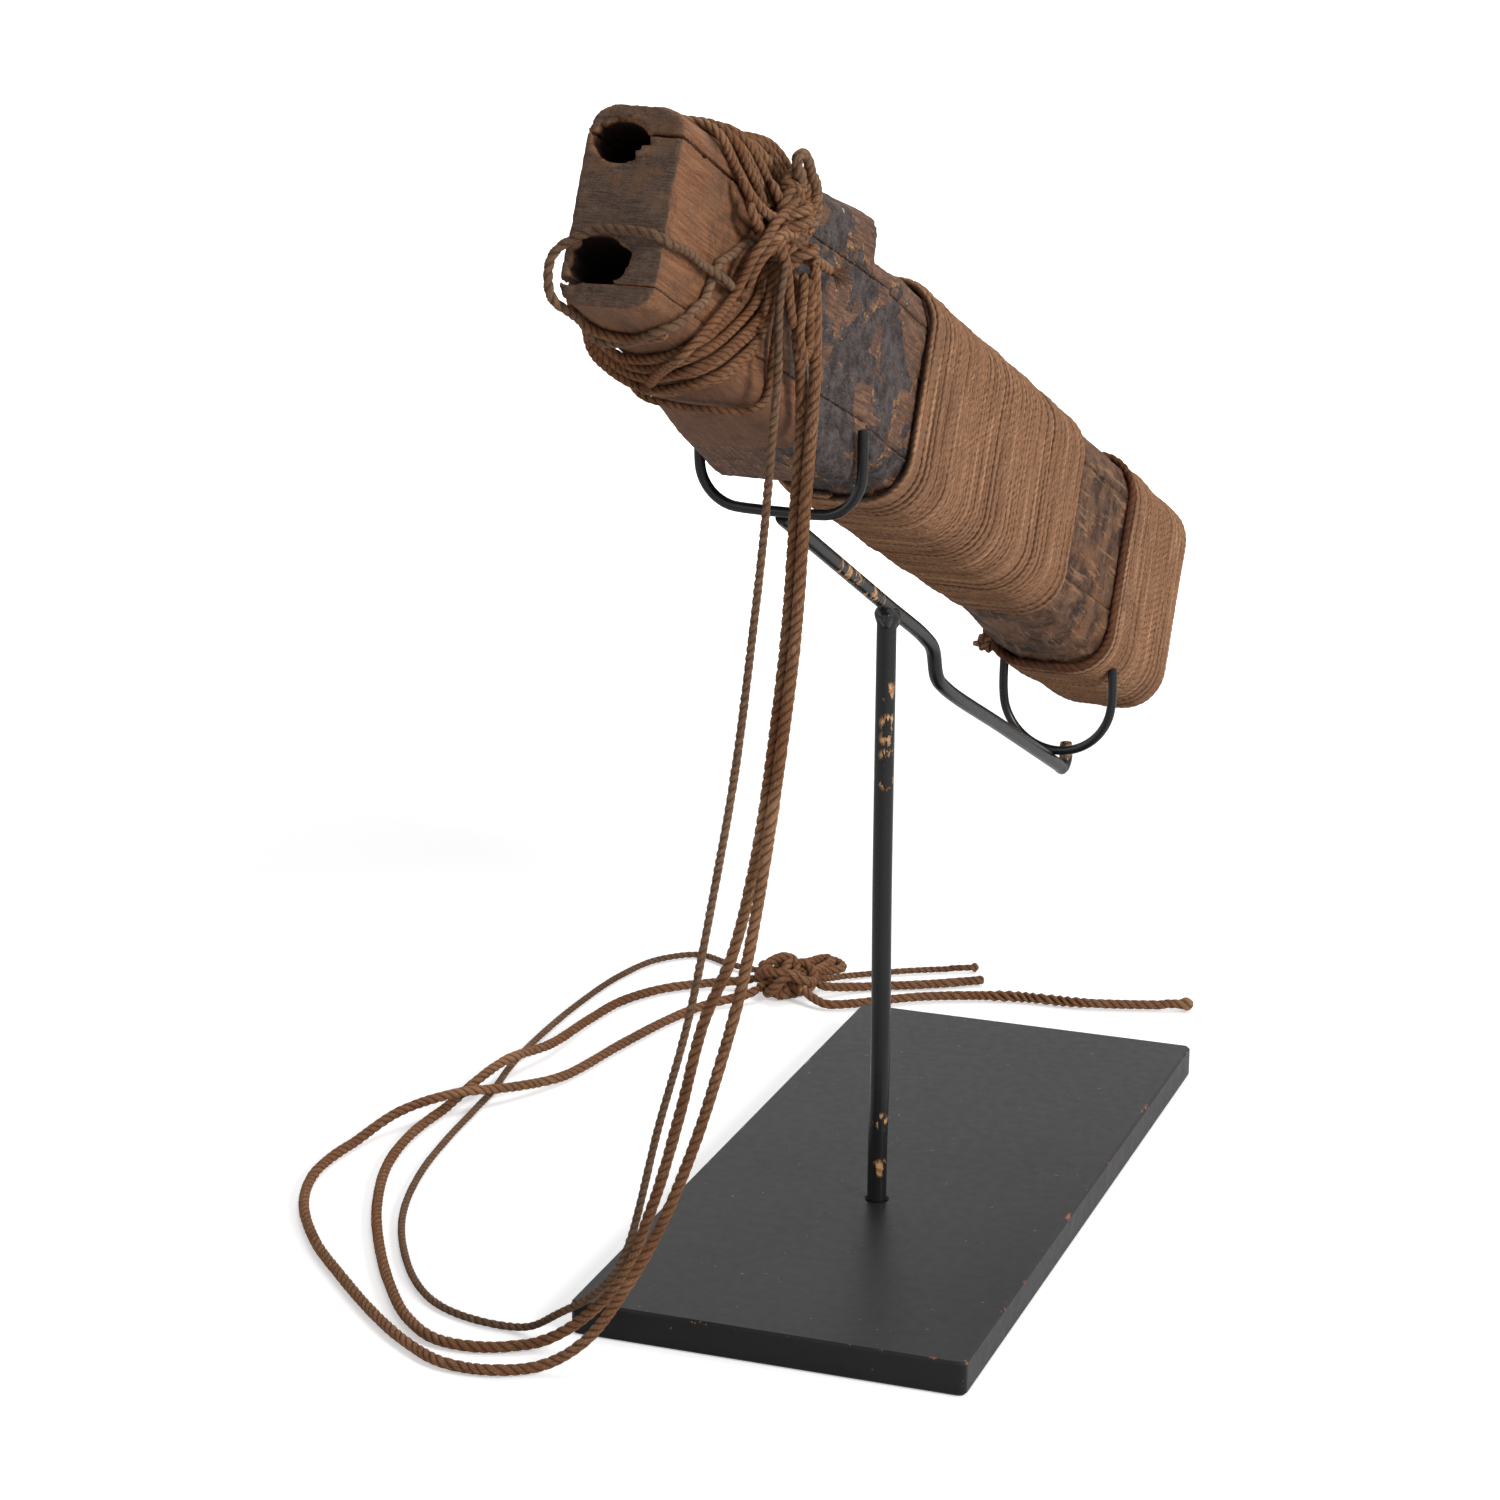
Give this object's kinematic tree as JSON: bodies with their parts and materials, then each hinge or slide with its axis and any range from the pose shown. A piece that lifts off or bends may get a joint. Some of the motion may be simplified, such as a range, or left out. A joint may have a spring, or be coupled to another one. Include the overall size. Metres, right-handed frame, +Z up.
{
  "type": "wooden whistle",
  "caption": "Double-bore lashed wooden whistle, resting in two wire cradles on a fitted metal stand, with long cords that hang and lie beside it.",
  "frame": {"origin": "centre of the base plate's underside, on the surface that the stand rests on", "axes": "+Z up, +Y along the plate's long side from the whistle's mouth end to its tail, +X to the right seen from the mouth end"},
  "size_m": [0.2577, 0.4593, 0.3841],
  "materials": {
    "stand_metal": "black satin lacquer over brass, worn through at a few edges",
    "old_wood": "weathered cedar with worn black and brown paint",
    "dark_cord": "fine twisted plant-fibre cord under dark paint",
    "brown_cord": "twisted plant-fibre cord, brown and dry"
  },
  "bodies": {
    "stand": {"base_plate": "stand_metal", "post": "stand_metal", "post_collar": "stand_metal", "arm": "stand_metal", "front_cradle": "stand_metal", "rear_cradle": "stand_metal", "hanging_cord_thin": "brown_cord", "hanging_cord_left": "brown_cord", "hanging_cord_right": "brown_cord", "floor_knot": "brown_cord", "floor_bight": "brown_cord", "cord_tail_thin": "brown_cord", "cord_tail_short": "brown_cord", "cord_tail_long": "brown_cord"},
    "whistle": {"top_board": "old_wood", "middle_block": "old_wood", "bottom_board": "old_wood", "main_binding_front": "dark_cord", "main_binding_middle": "dark_cord", "main_binding_rear": "dark_cord", "tail_binding_front": "dark_cord", "tail_binding_rear": "dark_cord", "tail_ring_cord": "brown_cord", "tail_ring_knot": "brown_cord", "head_binding": "brown_cord", "shoulder_turn": "brown_cord", "main_knot": "brown_cord", "knot_loop": "brown_cord", "top_strands": "brown_cord", "mouth_loop": "brown_cord"}
  },
  "joints": [
    {"name": "whistle_lift", "type": "slide", "parent": "stand", "child": "whistle", "axis": [0.029, 0.4153, 0.9092], "range_m": [0, 0.06]}
  ]
}
